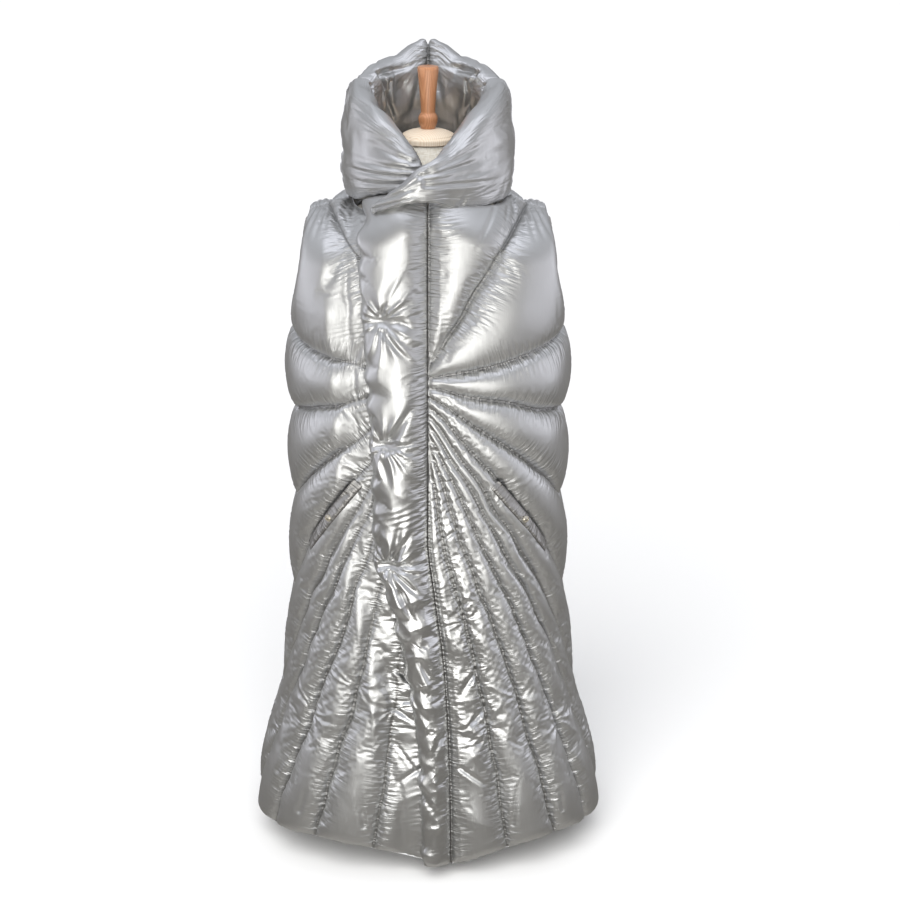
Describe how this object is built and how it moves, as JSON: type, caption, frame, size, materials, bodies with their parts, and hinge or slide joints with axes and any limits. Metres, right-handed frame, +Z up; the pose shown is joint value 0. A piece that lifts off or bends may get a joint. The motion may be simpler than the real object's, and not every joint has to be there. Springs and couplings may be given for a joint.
{
  "type": "hooded down vest on a dress form",
  "caption": "Long hooded sleeveless down vest with sunray channel quilting and a crossing collar, standing on a limbless dress form.",
  "frame": {"origin": "on the form's axis, on the underside of its round base plate, at floor level", "axes": "+Z up along the form's pole; -Y is the vest's front; +X is the wearer's left"},
  "size_m": [0.6776, 0.4691, 1.5435],
  "materials": {
    "foil_coated_nylon": "metallic foil coating, crumpled, glossy",
    "pocket_nylon": "metallic foil coating, flat pressed",
    "binding_nylon": "rolled edge binding, soft sheen",
    "form_linen": "plain woven linen, matt",
    "pale_pine": "sanded, clear matt varnish",
    "orange_beech": "turned, satin varnish",
    "stud_brass": "pale polished snap stud",
    "pole_steel": "brushed, satin"
  },
  "bodies": {
    "root": {"front_left": "foil_coated_nylon", "front_right": "foil_coated_nylon", "front_placket": "foil_coated_nylon", "back_left": "foil_coated_nylon", "back_right": "foil_coated_nylon", "hood_left": "foil_coated_nylon", "hood_right": "foil_coated_nylon", "collar_flap_left": "foil_coated_nylon", "collar_flap_right": "foil_coated_nylon", "pocket_welt_left": "pocket_nylon", "pocket_welt_right": "pocket_nylon", "pocket_stud_left": "stud_brass", "pocket_stud_right": "stud_brass", "armhole_binding_left": "binding_nylon", "armhole_binding_right": "binding_nylon", "form_torso": "form_linen", "form_neck_cap": "pale_pine", "form_finial": "orange_beech", "form_pole": "pole_steel", "form_base": "pole_steel"}
  },
  "joints": []
}
